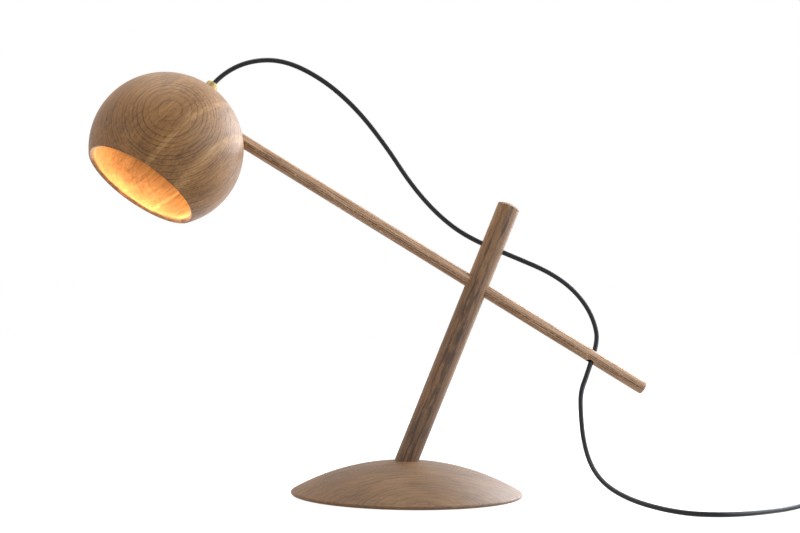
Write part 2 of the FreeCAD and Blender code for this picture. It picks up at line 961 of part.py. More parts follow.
def nodes():
    """Every node of the lamp, in place."""
    in_post = {"post_screw": post_screw(), "post_washer": post_washer()}
    in_rod = {
        "rod": rod(),
        "rod_magnet": rod_magnet(),
        "rod_magnet_screw": holding_screw(rod_head),
    }
    in_shade = {
        "shade": shade(),
        "shade_collar": shade_collar(),
        "gland_cap": gland_cap(),
        "cord_grip": cord_grip(),
        "nipple": nipple(),
        "ring_nut": ring_nut(),
        "cord_inner": inner_cord(),
        "socket_block": socket_block(),
        "socket_keeper": socket_keeper(),
        "socket_keeper_screw": along_rod(holding_screw(socket_floor)),
        "holder_cap": holder_cap(),
        "holder_body": holder_body(),
        "holder_insert": holder_insert(),
        "holder_shell": holder_shell(),
        "holder_contact": holder_contact(),
        "bulb_contact": bulb_contact(),
        "bulb_cap": bulb_cap(),
        "bulb_glass": bulb_glass(),
    }
    in_switch = {
        "switch_base": switch_base(),
        "switch_cover": switch_cover(),
        "switch_screws": switch_screws(),
        "switch_terminals": switch_terminals(),
        "rocker": rocker(),
        "rocker_pin": rocker_pin(),
    }
    in_plug = {
        "plug_relief": plug_relief(),
        "plug_body": plug_body(),
        "plug_pins": plug_pins(),
        "plug_sleeves": plug_sleeves(),
    }
    made = {
        "base_dome": base_dome(),
        "base_ballast": base_ballast(),
        "base_ballast_screws": ballast_screws(),
        "base_pad": base_pad(),
        "post": post(),
        "bush_keeper": bush_keeper(),
        "rod_bush": rod_bush(),
        "bush_liner": bush_liner(),
        "cord_head": cord_tube("cord_head", head_route),
        "cord_middle": cord_tube("cord_middle", middle_route),
        "cord_drop": cord_tube("cord_drop", drop_route),
        "cord_table": cord_tube("cord_table", table_route),
        "cord_to_coil": cord_tube("cord_to_coil", coil_route),
        "cord_coil": cord_coil(),
        "cord_to_plug": cord_tube("cord_to_plug", plug_route),
    }
    for frame, group in (
        (post_frame, in_post),
        (rod_frame, in_rod),
        (shade_frame, in_shade),
        (switch_frame, in_switch),
        (plug_frame, in_plug),
    ):
        made.update({name: placed(shape, frame) for name, shape in group.items()})
    return made


os.makedirs("parts", exist_ok=True)
for name, shape in nodes().items():
    if not shape.isValid():
        print(f"{name}: not valid")
    shape.exportStep(f"parts/{name}.step")
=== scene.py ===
"""The looks of a wooden balance lamp, dressed over its CAD frame. Lengths are in metres."""

import json
import math

import bpy
from mathutils import Matrix, Vector

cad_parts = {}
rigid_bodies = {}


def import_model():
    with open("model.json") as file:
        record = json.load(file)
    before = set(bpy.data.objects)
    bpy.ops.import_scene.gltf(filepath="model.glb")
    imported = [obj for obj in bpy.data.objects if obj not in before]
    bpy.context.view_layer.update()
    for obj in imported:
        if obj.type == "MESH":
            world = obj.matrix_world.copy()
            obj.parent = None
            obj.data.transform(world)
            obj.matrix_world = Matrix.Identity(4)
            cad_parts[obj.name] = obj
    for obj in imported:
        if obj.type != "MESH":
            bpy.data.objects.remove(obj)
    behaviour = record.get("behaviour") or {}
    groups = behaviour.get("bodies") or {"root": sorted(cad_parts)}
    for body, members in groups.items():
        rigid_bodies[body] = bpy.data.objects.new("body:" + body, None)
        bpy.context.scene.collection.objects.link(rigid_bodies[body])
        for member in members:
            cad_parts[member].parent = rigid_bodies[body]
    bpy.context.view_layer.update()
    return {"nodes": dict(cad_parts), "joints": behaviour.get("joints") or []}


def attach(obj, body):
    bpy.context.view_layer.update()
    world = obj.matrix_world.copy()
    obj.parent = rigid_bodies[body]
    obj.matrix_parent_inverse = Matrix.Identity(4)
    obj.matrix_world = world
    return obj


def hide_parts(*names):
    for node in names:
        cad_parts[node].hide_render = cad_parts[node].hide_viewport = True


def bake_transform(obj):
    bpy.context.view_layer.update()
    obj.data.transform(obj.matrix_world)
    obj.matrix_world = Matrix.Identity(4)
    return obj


for leftover in list(bpy.data.objects):
    bpy.data.objects.remove(leftover)

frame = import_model()
nodes = frame["nodes"]
joints = {joint["name"]: joint for joint in frame["joints"]}

# Places and directions. The rod's axis points up to the shade, and the pole's from the shade's
# mouth to its gland.
Y = Vector((0, 1, 0))
Z = Vector((0, 0, 1))
crossing = Vector(joints["rod_turn"]["pos_m"])  # of the rod and the post
rod_axis = Vector(joints["rod_turn"]["axis"]).normalized()
rod_upright = Vector((rod_axis.z, 0, -rod_axis.x))  # square to the rod, up
rod_roll = math.radians(19.8)
post_lean = math.radians(21.3)
post_axis = Vector((math.sin(post_lean), 0, math.cos(post_lean)))
pole_axis = rod_upright * math.cos(rod_roll) + Y * math.sin(rod_roll)
shade_reach = 0.4075  # along the rod, from the crossing
rod_offset = 0.0612  # along the pole, from the shade's middle to the rod
shade_centre = crossing + rod_axis * shade_reach - pole_axis * rod_offset
bulb_offset = 0.0059  # along the pole, from the shade's middle
bulb_middle = shade_centre + pole_axis * bulb_offset
bulb_radius = 0.0225

# Camera
camera_place = Vector((-0.0654, -1.7759, 0.2300))
camera_yaw = math.radians(-1.732)
camera_pitch = math.radians(1.569)
camera_roll = math.radians(0.747)
camera_lens = 65.25
camera_nearest = 0.01
camera_furthest = 60

# Light and floor
floor_half = 6.0
floor_white = 0.85
world_light = 0.30
bulb_glow = 980.0
lights_aim = Vector((0, 0, 0.25))

# Cord
cord_radius = 0.003
cord_sides = 16
spline_steps = 12
weave_strands = 12  # round the cord
cord_pieces = []

# Where the cord's bends start and end. The first two are measured along the rod, from the
# crossing towards the tail, and the last one down from the hole in the tail.
HEAD_BENDS = [-0.385, -0.265, -0.135, -0.02]
MIDDLE_BENDS = [0.015, 0.105]
DROP_BENDS = [0.075, 0.15]

# Cord routes, point by point from the shade to the plug
HEAD_ROUTE = [
    (-0.2497, 0.0118, 0.4939),
    (-0.2393, 0.0191, 0.5113),
    (-0.2038, 0.0175, 0.5313),
    (-0.1592, 0.0155, 0.5334),
    (-0.1102, 0.013, 0.5098),
    (-0.0672, 0.011, 0.473),
    (-0.0299, 0.008, 0.4263),
    (0.0013, 0.006, 0.3794),
    (0.0349, 0.004, 0.3421),
    (0.0715, 0, 0.3149),
    (0.1013, 0, 0.3031),
]
MIDDLE_ROUTE = [
    (0.1013, 0, 0.3031),
    (0.1356, 0, 0.2893),
    (0.1679, 0, 0.2761),
    (0.1952, 0.001, 0.2594),
    (0.2165, 0.003, 0.2375),
    (0.2296, 0.006, 0.2134),
    (0.2341, 0.0066, 0.1894),
    (0.2264, 0, 0.1707),
]
DROP_ROUTE = [
    (0.2264, 0, 0.1707),
    (0.2186, -0.0075, 0.1492),
    (0.2095, -0.015, 0.1281),
    (0.2089, -0.025, 0.1001),
    (0.2097, -0.042, 0.0712),
    (0.2144, -0.066, 0.0453),
    (0.2261, -0.094, 0.0262),
    (0.2478, -0.121, 0.0138),
    (0.2758, -0.144, 0.0066),
    (0.3069, -0.1625, cord_radius),
    (0.3409, -0.17, cord_radius),
    (0.3574, -0.165, cord_radius),
]
switch_cord_height = 0.0065
TABLE_ROUTE = [
    (0.3574, -0.165, cord_radius),
    (0.3739, -0.16, cord_radius),
    (0.4069, -0.1385, cord_radius),
    (0.4379, -0.113, cord_radius),
    (0.4711, -0.0893, switch_cord_height),
    (0.4875, -0.0747, switch_cord_height),
    (0.5203, -0.0453, switch_cord_height),
    (0.5359, -0.0313, switch_cord_height),
    (0.5519, -0.021, cord_radius),
]
PLUG_ROUTE = [
    (0.5774, 0.03, 0.0084),
    (0.5749, 0.044, 0.0076),
    (0.5709, 0.058, 0.007),
]

# Coil: the outer turn on the floor, one inside it, one on that, and a last part of a turn on
# the first. The turns change over a part of the circle.
coil_centre = Vector((0.5429, 0.015, 0))
coil_outer_turn = 0.0349
coil_inner_turn = coil_outer_turn - 2 * cord_radius
coil_top_layer = 3 * cord_radius
coil_whole_turns = 3
coil_start_angle = math.radians(-48.6)
coil_points_per_turn = 16
coil_change = math.radians(60)


def coil_points():
    """Control points of the coil's turns, in the cord's order."""
    stages = [
        (coil_outer_turn, cord_radius),
        (coil_inner_turn, cord_radius),
        (coil_inner_turn, coil_top_layer),
        (coil_outer_turn, coil_top_layer),
    ]
    total = coil_whole_turns * math.tau - coil_start_angle
    count = round(total / math.tau * coil_points_per_turn)
    stretch = 1 / math.cos(math.pi / coil_points_per_turn)
    points = []
    for i in range(count + 1):
        turned = total * i / count
        turn = min(int(turned / math.tau), len(stages) - 2)
        left = (turn + 1) * math.tau - turned
        share = min(max(1 - left / coil_change, 0), 1)
        share = share * share * (3 - 2 * share)
        (r0, z0), (r1, z1) = stages[turn], stages[turn + 1]
        radius = (r0 + (r1 - r0) * share) * stretch
        angle = coil_start_angle + turned
        x = coil_centre.x + radius * math.cos(angle)
        y = coil_centre.y + radius * math.sin(angle)
        points.append((x, y, z0 + (z1 - z0) * share))
    return points


def add_object(name, data):
    obj = bpy.data.objects.new(name, data)
    bpy.context.scene.collection.objects.link(obj)
    return obj


def make_camera():
    forward = Vector(
        (
            -math.sin(camera_yaw) * math.cos(camera_pitch),
            math.cos(camera_yaw) * math.cos(camera_pitch),
            math.sin(camera_pitch),
        )
    )
    level = Vector((math.cos(camera_yaw), math.sin(camera_yaw), 0))
    upright = level.cross(forward)
    right = level * math.cos(camera_roll) + upright * math.sin(camera_roll)
    up = upright * math.cos(camera_roll) - level * math.sin(camera_roll)
    data = bpy.data.cameras.new("camera")
    data.lens = camera_lens
    data.clip_start = camera_nearest
    data.clip_end = camera_furthest
    camera = add_object("camera", data)
    turn = Matrix((right, up, -forward)).transposed().to_4x4()
    camera.matrix_world = Matrix.Translation(camera_place) @ turn
    bpy.context.scene.camera = camera


def centreline(name, route):
    """The points along a smooth curve that has the route as its control points."""
    data = bpy.data.curves.new(name, "CURVE")
    data.dimensions = "3D"
    data.resolution_u = spline_steps
    spline = data.splines.new("NURBS")
    spline.points.add(len(route) - 1)
    for point, place in zip(spline.points, route):
        point.co = (*place, 1)
    spline.order_u = 3
    spline.use_endpoint_u = True
    curve = add_object(name, data)
    bpy.context.view_layer.update()
    mesh = bpy.data.meshes.new_from_object(curve)
    line = [vertex.co.copy() for vertex in mesh.vertices]
    bpy.data.objects.remove(curve)
    return line


def rings_along(line):
    """Rings of points round the line, with no twist, and the distance of each along it."""
    rings = []
    distances = []
    side = None
    walked = 0.0
    angles = [math.tau * k / cord_sides for k in range(cord_sides)]
    for i, place in enumerate(line):
        ahead = line[min(i + 1, len(line) - 1)]
        behind = line[max(i - 1, 0)]
        along = (ahead - behind).normalized()
        if side is None:
            side = along.cross(Z).normalized()
        side = (side - along * side.dot(along)).normalized()
        across = along.cross(side)
        if i:
            walked += (place - line[i - 1]).length
        outward = [side * math.cos(a) + across * math.sin(a) for a in angles]
        rings.append([place + direction * cord_radius for direction in outward])
        distances.append(walked)
    return rings, distances


def tube(name, line):
    """A closed round tube along a line, with UVs in metres along and round it. The edges of its
    ends are sharp, so that the shading runs on evenly where the next piece starts."""
    rings, distances = rings_along(line)
    vertices = [point for ring in rings for point in ring]
    last_ring = len(vertices) - cord_sides
    around = math.tau * cord_radius / cord_sides
    faces = []
    corners = []
    for i, (start, end) in enumerate(zip(distances, distances[1:])):
        near = i * cord_sides
        far = near + cord_sides
        for k in range(cord_sides):
            n = (k + 1) % cord_sides
            faces.append((near + k, near + n, far + n, far + k))
            low, high = k * around, (k + 1) * around
            corners += [(start, low), (start, high), (end, high), (end, low)]
    faces.append(tuple(reversed(range(cord_sides))))
    faces.append(tuple(range(last_ring, len(vertices))))
    corners += [(0, 0)] * (2 * cord_sides)
    mesh = bpy.data.meshes.new(name)
    mesh.from_pydata(vertices, [], faces)
    layer = mesh.uv_layers.new(name="along")
    for loop, uv in zip(layer.data, corners):
        loop.uv = uv
    mesh.polygons.foreach_set("use_smooth", [len(face) == 4 for face in faces])
    for edge in mesh.edges:
        at_start = max(edge.vertices) < cord_sides
        edge.use_edge_sharp = at_start or min(edge.vertices) >= last_ring
    return add_object(name, mesh)


def along_rod(point):
    """How far a point lies towards the rod's tail from the crossing."""
    return -(point - crossing).dot(rod_axis)


def cut_line(line, measure, limits):
    """The line in pieces, cut where a measure of its points first passes each limit."""
    cuts = [0]
    for limit in limits:
        cuts.append(next(i for i, point in enumerate(line) if measure(point) > limit))
    cuts.append(len(line) - 1)
    return [line[a : b + 1] for a, b in zip(cuts, cuts[1:])]


def bending_cord(name, line, node):
    """A stretch of cord, built as a tube along the line where it rests, in place of the CAD node
    that it hides.
    """
    piece = tube(name, line)
    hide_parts(node)
    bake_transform(piece)
    cord_pieces.append(piece)


def make_head_cord():
    """From the gland to the post, in three pieces, cut along the rod at the middle two of
    HEAD_BENDS. The pieces lie where the shade's turn on the rod, the rod's slide and the rod's
    turn would bend the cord, in that order."""
    line = centreline("head_line", HEAD_ROUTE)
    parts = cut_line(line, along_rod, HEAD_BENDS[1:-1])
    pieces = [
        ("cord_at_shade", ("head", "rod")),
        ("cord_over_rod", ("rod", "bush")),
        ("cord_to_post", ("bush", "stand")),
    ]
    places = [crossing - rod_axis * distance for distance in HEAD_BENDS]
    for (name, bodies), part, ends in zip(pieces, parts, zip(places, places[1:])):
        bending_cord(name, part, "cord_head")


def make_middle_cord():
    """From the post to the rod's tail, in two pieces cut along the rod at MIDDLE_BENDS: one where
    the rod's turn would bend it, then one where its slide would.
    """
    line = centreline("middle_line", MIDDLE_ROUTE)
    inside, turning, sliding = cut_line(line, along_rod, MIDDLE_BENDS)
    first = inside + turning[1:]
    bending_cord("cord_from_post", first, "cord_middle")
    bending_cord("cord_to_tail", sliding, "cord_middle")


def make_drop_cord():
    """From the rod's tail to the table, in two pieces cut at DROP_BENDS below the tail: one where
    the rod's slide would bend it, then one where its turn would.
    """
    line = centreline("drop_line", DROP_ROUTE)
    sliding, turning, lying = cut_line(line, lambda point: line[0].z - point.z, DROP_BENDS)
    bending_cord("cord_below_tail", sliding, "cord_drop")
    last = turning + lying[1:]
    bending_cord("cord_drop_low", last, "cord_drop")


def make_table_cord():
    """Along the table through the switch, into the coil and on to the plug."""
    line = centreline("table_line", TABLE_ROUTE + coil_points() + PLUG_ROUTE)
    piece = tube("cord_on_table", line)
    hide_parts("cord_table", "cord_to_coil", "cord_coil", "cord_to_plug")
    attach(piece, "stand")
    cord_pieces.append(piece)


# Materials


def srgb(red, green, blue):
    """A colour from 0 to 255 a channel, as the linear colour that shaders take."""

    def linear(value):
        value /= 255
        return value / 12.92 if value <= 0.04045 else ((value + 0.055) / 1.055) ** 2.4

    return (linear(red), linear(green), linear(blue), 1.0)


def darker(colour, share):
    return tuple(channel * share for channel in colour[:3]) + (1.0,)


class Shader:
    """One material and short ways to add nodes to it."""

    def __init__(self, name):
        self.material = bpy.data.materials.new(name)
        self.material.use_nodes = True
        self.tree = self.material.node_tree
        self.surface = self.tree.nodes["Principled BSDF"]

    def feed(self, socket, value):
        """Links another socket to this one, or sets its constant value."""
        if isinstance(value, bpy.types.NodeSocket):
            self.tree.links.new(value, socket)
        else:
            socket.default_value = value

    def node(self, kind, values=(), **settings):
        node = self.tree.nodes.new(kind)
        for key, value in settings.items():
            setattr(node, key, value)
        for socket, value in zip(node.inputs, values):
            self.feed(socket, value)
        return node

    def math(self, operation, *values):
        return self.node("ShaderNodeMath", values, operation=operation).outputs[0]

    def add(self, first, second):
        return self.math("ADD", first, second)

    def subtract(self, first, second):
        return self.math("SUBTRACT", first, second)

    def multiply(self, first, second):
        return self.math("MULTIPLY", first, second)

    def larger(self, first, second):
        return self.math("MAXIMUM", first, second)

    def rest(self, value):
        """What is left of 1."""
        return self.subtract(1.0, value)

    def dot(self, vector, direction):
        values = (vector, tuple(direction))
        node = self.node("ShaderNodeVectorMath", values, operation="DOT_PRODUCT")
        return node.outputs["Value"]

    def length(self, vector):
        return self.node("ShaderNodeVectorMath", (vector,), operation="LENGTH").outputs["Value"]

    def place(self, origin=(0, 0, 0)):
        """The place on the object, measured from an origin."""
        place = self.node("ShaderNodeTexCoord").outputs["Object"]
        values = (place, tuple(origin))
        return self.node("ShaderNodeVectorMath", values, operation="SUBTRACT").outputs[0]

    def normal(self):
        return self.node("ShaderNodeTexCoord").outputs["Normal"]

    def combine(self, x, y, z):
        return self.node("ShaderNodeCombineXYZ", (x, y, z)).outputs[0]

    def stretched(self, axes, sizes):
        """Coordinates along three axes, each in steps of its own size."""
        return self.combine(*(self.math("DIVIDE", a, size) for a, size in zip(axes, sizes)))

    def noise(self, vector, scale=1.0, detail=2.0, roughness=0.5):
        node = self.node("ShaderNodeTexNoise")
        self.feed(node.inputs["Vector"], vector)
        node.inputs["Scale"].default_value = scale
        node.inputs["Detail"].default_value = detail
        node.inputs["Roughness"].default_value = roughness
        return node.outputs["Fac"]

    def ramp(self, factor, stops):
        node = self.node("ShaderNodeValToRGB", (factor,))
        elements = node.color_ramp.elements
        while len(elements) < len(stops):
            elements.new(1.0)
        for element, (position, colour) in zip(elements, stops):
            element.position = position
            element.color = colour
        return node.outputs["Color"]

    def level(self, value, low, high):
        """0 below low, 1 above high, smooth between."""
        node = self.node("ShaderNodeMapRange", (value, low, high), interpolation_type="SMOOTHSTEP")
        return node.outputs["Result"]

    def set(self, **values):
        for name, value in values.items():
            self.feed(self.surface.inputs[name.replace("_", " ")], value)

    def bump(self, height, distance, strength=1.0):
        node = self.node("ShaderNodeBump")
        node.inputs["Strength"].default_value = strength
        node.inputs["Distance"].default_value = distance
        self.feed(node.inputs["Height"], height)
        self.feed(self.surface.inputs["Normal"], node.outputs["Normal"])


# The figure of oak. Sizes are in metres: along the grain, across it and through the rings. Depths
# are shares of the way from the darkest tone to the palest. A pair is where something starts and
# where it is full.
middle_light = 0.62
ripple_scale = 110  # of the small waves in every ring
ripple_height = 0.0009
width_change = 0.45  # how fast the rings' widths change, per ring
width_spread = 1.6
least_slant = 0.003
pore_line = (0.0003, 0.0014)  # from a ring's start; the line of pores fades over this
break_scale = 300
breaks = (0.33, 0.5)  # the noise that breaks the line
steep = (0.3, 0.7)  # the slant to the rings at which lines break
strength_seed = 3.7
strength_scale = 0.9
strengths = (0.1, 0.8)
late_wood = (0.45, 1.0)  # of a ring's width
late_share = 0.25
calm_share = 0.25
calm_edge = 0.001
STREAK_SIZE = (0.07, 0.005, 0.005)
PORE_SIZE = (0.0035, 0.0035, 0.0005)
CLOUD_SIZE = (0.06, 0.02, 0.02)
FLAME_SIZE = (0.022, 0.006, 0.003)
pores = (0.58, 0.72)
flames = (0.44, 0.58)
flat = (0.62, 0.93)  # how squarely the surface faces across the rings, where flames show
streak_depth = 0.3
pore_depth = 0.16
ray_depth = 0.24
ray_core = 0.4  # of a ray's half width


class Oak:
    """How the grain runs in one piece of oak."""

    def __init__(
        self,
        heart,
        face,
        grain,
        ring_width,
        curl=0.0,
        waver=0.0,
        waver_size=0.05,
        fibre_size=(0.02, 0.0014),
        fade=0.0,
        rays=(),
    ):
        self.heart = heart  # the point that the grain is measured from
        self.grain = grain.normalized()
        self.face = (face - self.grain * face.dot(self.grain)).normalized()  # across the rings
        self.cross = self.grain.cross(self.face)
        self.ring_width = ring_width
        self.curl = curl  # curvature of the rings, in 1 / m
        self.waver = waver  # how far the rings wander
        self.waver_size = waver_size  # length of that wandering along the grain
        self.fibre_size = fibre_size  # length and width
        self.fade = fade  # painted light: how much lighter the wood is painted along the grain, per metre, standing in for more light falling on the upper part
        self.rays = rays  # pale sheets along the grain: place across it and half width


def oak(
    name,
    wood,
    tones,
    ring_depth=0.45,
    fibre_depth=0.2,
    cloud_depth=0.3,
    heart_depth=0.0,
    calm_radius=0.0,
    sheen=0.1,
):
    """Oiled oak: growth rings that start at a broken line of open pores, with fibres, pale rays
    and clouds between them. tones runs from the pores' colour to the palest wood. heart_depth
    is for the dark wavy figure where the surface lies along the rings. Within calm_radius of
    the heart the rings are fainter."""
    shader = Shader(name)
    place = shader.place(wood.heart)
    normal = shader.normal()
    along = shader.dot(place, wood.grain)
    across = shader.dot(place, wood.cross)
    depth = shader.dot(place, wood.face)

    # The depth through the rings, bent and wandering, and as a number of uneven rings
    waver_width = wood.waver_size / 2
    slow = shader.stretched((along, across, depth), (wood.waver_size, waver_width, waver_width))
    waver = shader.subtract(shader.noise(slow, detail=2.5), 0.5)
    slope = shader.multiply(across, wood.curl)
    rise = shader.multiply(shader.multiply(slope, across), 0.5)
    bent = shader.add(depth, rise)
    bent = shader.add(bent, shader.multiply(waver, 2 * wood.waver))
    ripple = shader.subtract(shader.noise(place, scale=ripple_scale, detail=1), 0.5)
    bent = shader.add(bent, shader.multiply(ripple, ripple_height))
    age = shader.math("DIVIDE", bent, wood.ring_width)
    slow_age = shader.combine(shader.multiply(age, width_change), 0.0, 0.0)
    age = shader.add(age, shader.multiply(shader.noise(slow_age, detail=3), width_spread))

    # A ring's line keeps its width on the surface, however flat the surface lies to the ring
    facing = shader.dot(normal, wood.face)
    facing = shader.add(facing, shader.multiply(slope, shader.dot(normal, wood.cross)))
    slant = shader.rest(shader.multiply(facing, facing))
    slant = shader.math("SQRT", shader.larger(slant, least_slant))
    ring = shader.math("FRACT", age)
    past = shader.math("DIVIDE", shader.multiply(ring, wood.ring_width), slant)
    line = shader.rest(shader.level(past, *pore_line))
    broken = shader.noise(place, scale=break_scale, detail=2)
    whole = shader.rest(shader.level(slant, *steep))
    line = shader.multiply(line, shader.larger(shader.level(broken, *breaks), whole))
    strength = shader.combine(age, strength_seed, 0.0)
    strength = shader.noise(strength, scale=strength_scale, detail=0)
    strength = shader.level(strength, *strengths)
    band = shader.multiply(line, strength)
    if calm_radius:
        away = shader.length(place)
        outside = shader.level(away, calm_radius, calm_radius + calm_edge)
        share = shader.add(calm_share, shader.multiply(outside, 1 - calm_share))
        band = shader.multiply(band, share)
    late = shader.multiply(shader.level(ring, *late_wood), strength)

    length, width = wood.fibre_size
    figure = (along, across, bent)
    fibre = shader.noise(shader.stretched(figure, (length, width, width)), detail=3)
    streak = shader.noise(shader.stretched(figure, STREAK_SIZE), detail=2)
    pore = shader.noise(shader.stretched(figure, PORE_SIZE), detail=1)
    pore = shader.level(pore, *pores)
    cloud = shader.noise(shader.stretched((along, across, depth), CLOUD_SIZE), detail=2)

    # painted light: the tone is painted lighter along the grain, standing in for more light on the
    # upper part
    light = shader.add(middle_light, shader.multiply(along, wood.fade))
    light = shader.subtract(light, shader.multiply(band, ring_depth))
    light = shader.subtract(light, shader.multiply(late, ring_depth * late_share))
    light = shader.subtract(light, shader.multiply(pore, pore_depth))
    for part, share in ((fibre, fibre_depth), (streak, streak_depth), (cloud, cloud_depth)):
        shift = shader.multiply(shader.subtract(part, 0.5), share * 2)
        light = shader.add(light, shift)
    for middle, half_width in wood.rays:
        aside = shader.math("ABSOLUTE", shader.subtract(across, middle))
        ray = shader.rest(shader.level(aside, half_width * ray_core, half_width))
        light = shader.add(light, shader.multiply(ray, ray_depth))
    if heart_depth:
        flame = shader.noise(shader.stretched(figure, FLAME_SIZE), detail=3)
        flame = shader.multiply(shader.level(flame, *flames), shader.level(facing, *flat))
        light = shader.subtract(light, shader.multiply(flame, heart_depth))
    stops = [(i / (len(tones) - 1), tone) for i, tone in enumerate(tones)]
    shader.set(Base_Color=shader.ramp(light, stops))
    rough = shader.add(0.48, shader.multiply(band, 0.15))
    shader.set(Roughness=shader.add(rough, shader.multiply(fibre, 0.1)))
    shader.set(Specular_IOR_Level=0.5, Sheen_Weight=sheen, Sheen_Roughness=0.4)
    relief = shader.add(band, shader.multiply(pore, 0.6))
    relief = shader.add(relief, shader.multiply(fibre, -0.4))
    shader.bump(shader.rest(relief), distance=0.0002, strength=0.6)
    return shader.material


shade_face = Vector((0.134, -0.921, 0.364)).normalized()
shade_wood = Oak(
    heart=shade_centre + shade_face * 0.00085,
    face=shade_face,
    grain=Vector((0.654, 0.385, 0.647)),
    ring_width=0.0025,
    curl=-1.0,
    waver=0.0007,
    rays=((0.023, 0.004), (0.062, 0.006)),
)
base_wood = Oak(
    heart=Vector((0.04, -0.133, 0.006)),
    face=Vector((0.155, -0.53, 0.834)),
    grain=Vector((1, 0.1, 0)),
    ring_width=0.0018,
    curl=-5.7,
    waver=0.0006,
)
post_wood = Oak(
    heart=crossing,
    face=Vector((-0.1, -1, 0.05)),
    grain=post_axis,
    # painted light: the post is painted lighter towards its top, where more light falls
    fade=1.1,
    ring_width=0.0032,
    curl=-20.0,
    waver=0.0018,
    waver_size=0.045,
)
rod_wood = Oak(
    heart=crossing,
    face=Vector((0.45, -0.35, 0.8)),
    grain=rod_axis,
    fibre_size=(0.045, 0.0018),
    ring_width=0.0024,
    waver=0.0006,
    waver_size=0.12,
)

SHADE_TONES = [
    srgb(68, 43, 21),
    srgb(101, 68, 34),
    srgb(136, 96, 52),
    srgb(158, 115, 67),
    srgb(185, 144, 95),
]
BASE_TONES = [
    srgb(50, 33, 18),
    srgb(82, 57, 32),
    srgb(111, 80, 47),
    srgb(129, 95, 58),
    srgb(152, 117, 78),
]
POST_TONES = [
    srgb(66, 48, 36),
    srgb(98, 73, 53),
    srgb(130, 98, 69),
    srgb(150, 115, 81),
    srgb(175, 138, 101),
]
ROD_TONES = [
    srgb(86, 60, 42),
    srgb(136, 102, 74),
    srgb(180, 143, 110),
    srgb(204, 168, 134),
    srgb(222, 192, 162),
]


def plain(name, colour, roughness, metallic=0.0, grain_size=0.0008, relief=0.00003):
    """A finely uneven plastic or metal: its tone, roughness and surface vary a little."""
    shader = Shader(name)
    fine = shader.noise(shader.place(), scale=1 / grain_size, detail=3)
    broad = shader.noise(shader.place(), scale=60, detail=2)
    shader.set(Base_Color=shader.ramp(broad, [(0.3, darker(colour, 0.82)), (0.7, colour)]))
    spread = 0.12
    uneven = shader.multiply(shader.add(fine, broad), spread)
    shader.set(Roughness=shader.add(uneven, roughness - spread), Metallic=metallic)
    shader.bump(fine, distance=relief)
    return shader.material


def brushed(name, colour, roughness, axis):
    """Turned metal, with fine lines round an axis."""
    shader = Shader(name)
    along = shader.dot(shader.place(), axis)
    lines = shader.noise(shader.combine(shader.multiply(along, 9000), 0.0, 0.0), detail=2)
    tarnish = shader.noise(shader.place(), scale=180, detail=3)
    shader.set(Base_Color=shader.ramp(tarnish, [(0.35, darker(colour, 0.7)), (0.6, colour)]))
    shader.set(Roughness=shader.add(roughness, shader.multiply(lines, 0.15)), Metallic=1.0)
    shader.bump(lines, distance=0.00002)
    return shader.material


def cord_material():
    """A smooth black lead with a close diagonal weave under its sheen."""
    shader = Shader("cord_sleeve")
    uv = shader.node("ShaderNodeUVMap", uv_map="along").outputs["UV"]
    split = shader.node("ShaderNodeSeparateXYZ", (uv,))
    length, around = split.outputs["X"], split.outputs["Y"]
    pitch = weave_strands / cord_radius
    one_way = shader.math("SINE", shader.multiply(shader.add(length, around), pitch))
    other_way = shader.math("SINE", shader.multiply(shader.subtract(length, around), pitch))
    weave = shader.multiply(one_way, other_way)
    weave = shader.add(0.5, shader.multiply(weave, 0.5))
    shader.set(Base_Color=shader.ramp(weave, [(0, srgb(8, 9, 12)), (1, srgb(18, 20, 25))]))
    wear = shader.noise(shader.place(), scale=90, detail=3)
    shader.set(Roughness=shader.add(0.26, shader.multiply(wear, 0.12)))
    shader.set(Specular_IOR_Level=0.3)
    shader.bump(weave, distance=0.00005, strength=0.3)
    return shader.material


def felt(name, colour):
    shader = Shader(name)
    fuzz = shader.noise(shader.place(), scale=1600, detail=4, roughness=0.7)
    cloud = shader.noise(shader.place(), scale=120, detail=2)
    mixed = shader.add(shader.multiply(fuzz, 0.6), shader.multiply(cloud, 0.4))
    shader.set(Base_Color=shader.ramp(mixed, [(0.35, darker(colour, 0.6)), (0.65, colour)]))
    shader.set(Roughness=0.95)
    shader.bump(fuzz, distance=0.0003)
    return shader.material


def lit_glass():
    """The opal bulb, lit: brightest at its tip, and much dimmer by the cap."""
    shader = Shader("opal_glass")
    height = shader.dot(shader.place(bulb_middle), pole_axis)
    warm = shader.ramp(
        shader.level(height, -bulb_radius, -0.78 * bulb_radius),
        [(0.0, srgb(255, 223, 188)), (1.0, srgb(8, 5, 3))],
    )
    shader.set(Base_Color=srgb(250, 240, 225), Roughness=0.25)
    shader.set(Emission_Color=warm, Emission_Strength=bulb_glow)
    return shader.material


def seen_directly(shader):
    """1 for rays from the camera, a mirror or glass, and 0 for the rest."""
    path = shader.node("ShaderNodeLightPath").outputs
    mirror = shader.larger(path["Is Glossy Ray"], path["Is Transmission Ray"])
    return shader.larger(path["Is Camera Ray"], mirror)


def floor_material():
    """A pale floor that shows as white, with the object's shadow kept."""
    shader = Shader("floor")
    shader.set(Base_Color=srgb(160, 160, 160), Roughness=0.9)
    surface = shader.surface.outputs[0]
    white = shader.node("ShaderNodeEmission", ((1, 1, 1, 1), floor_white)).outputs[0]
    lit = shader.node("ShaderNodeAddShader", (surface, white)).outputs[0]
    chosen = shader.node("ShaderNodeMixShader", (seen_directly(shader), surface, lit))
    output = shader.tree.nodes["Material Output"]
    shader.feed(output.inputs["Surface"], chosen.outputs[0])
    return shader.material


def paint(material, *names):
    for name in names:
        mesh = nodes[name].data
        mesh.materials.clear()
        mesh.materials.append(material)


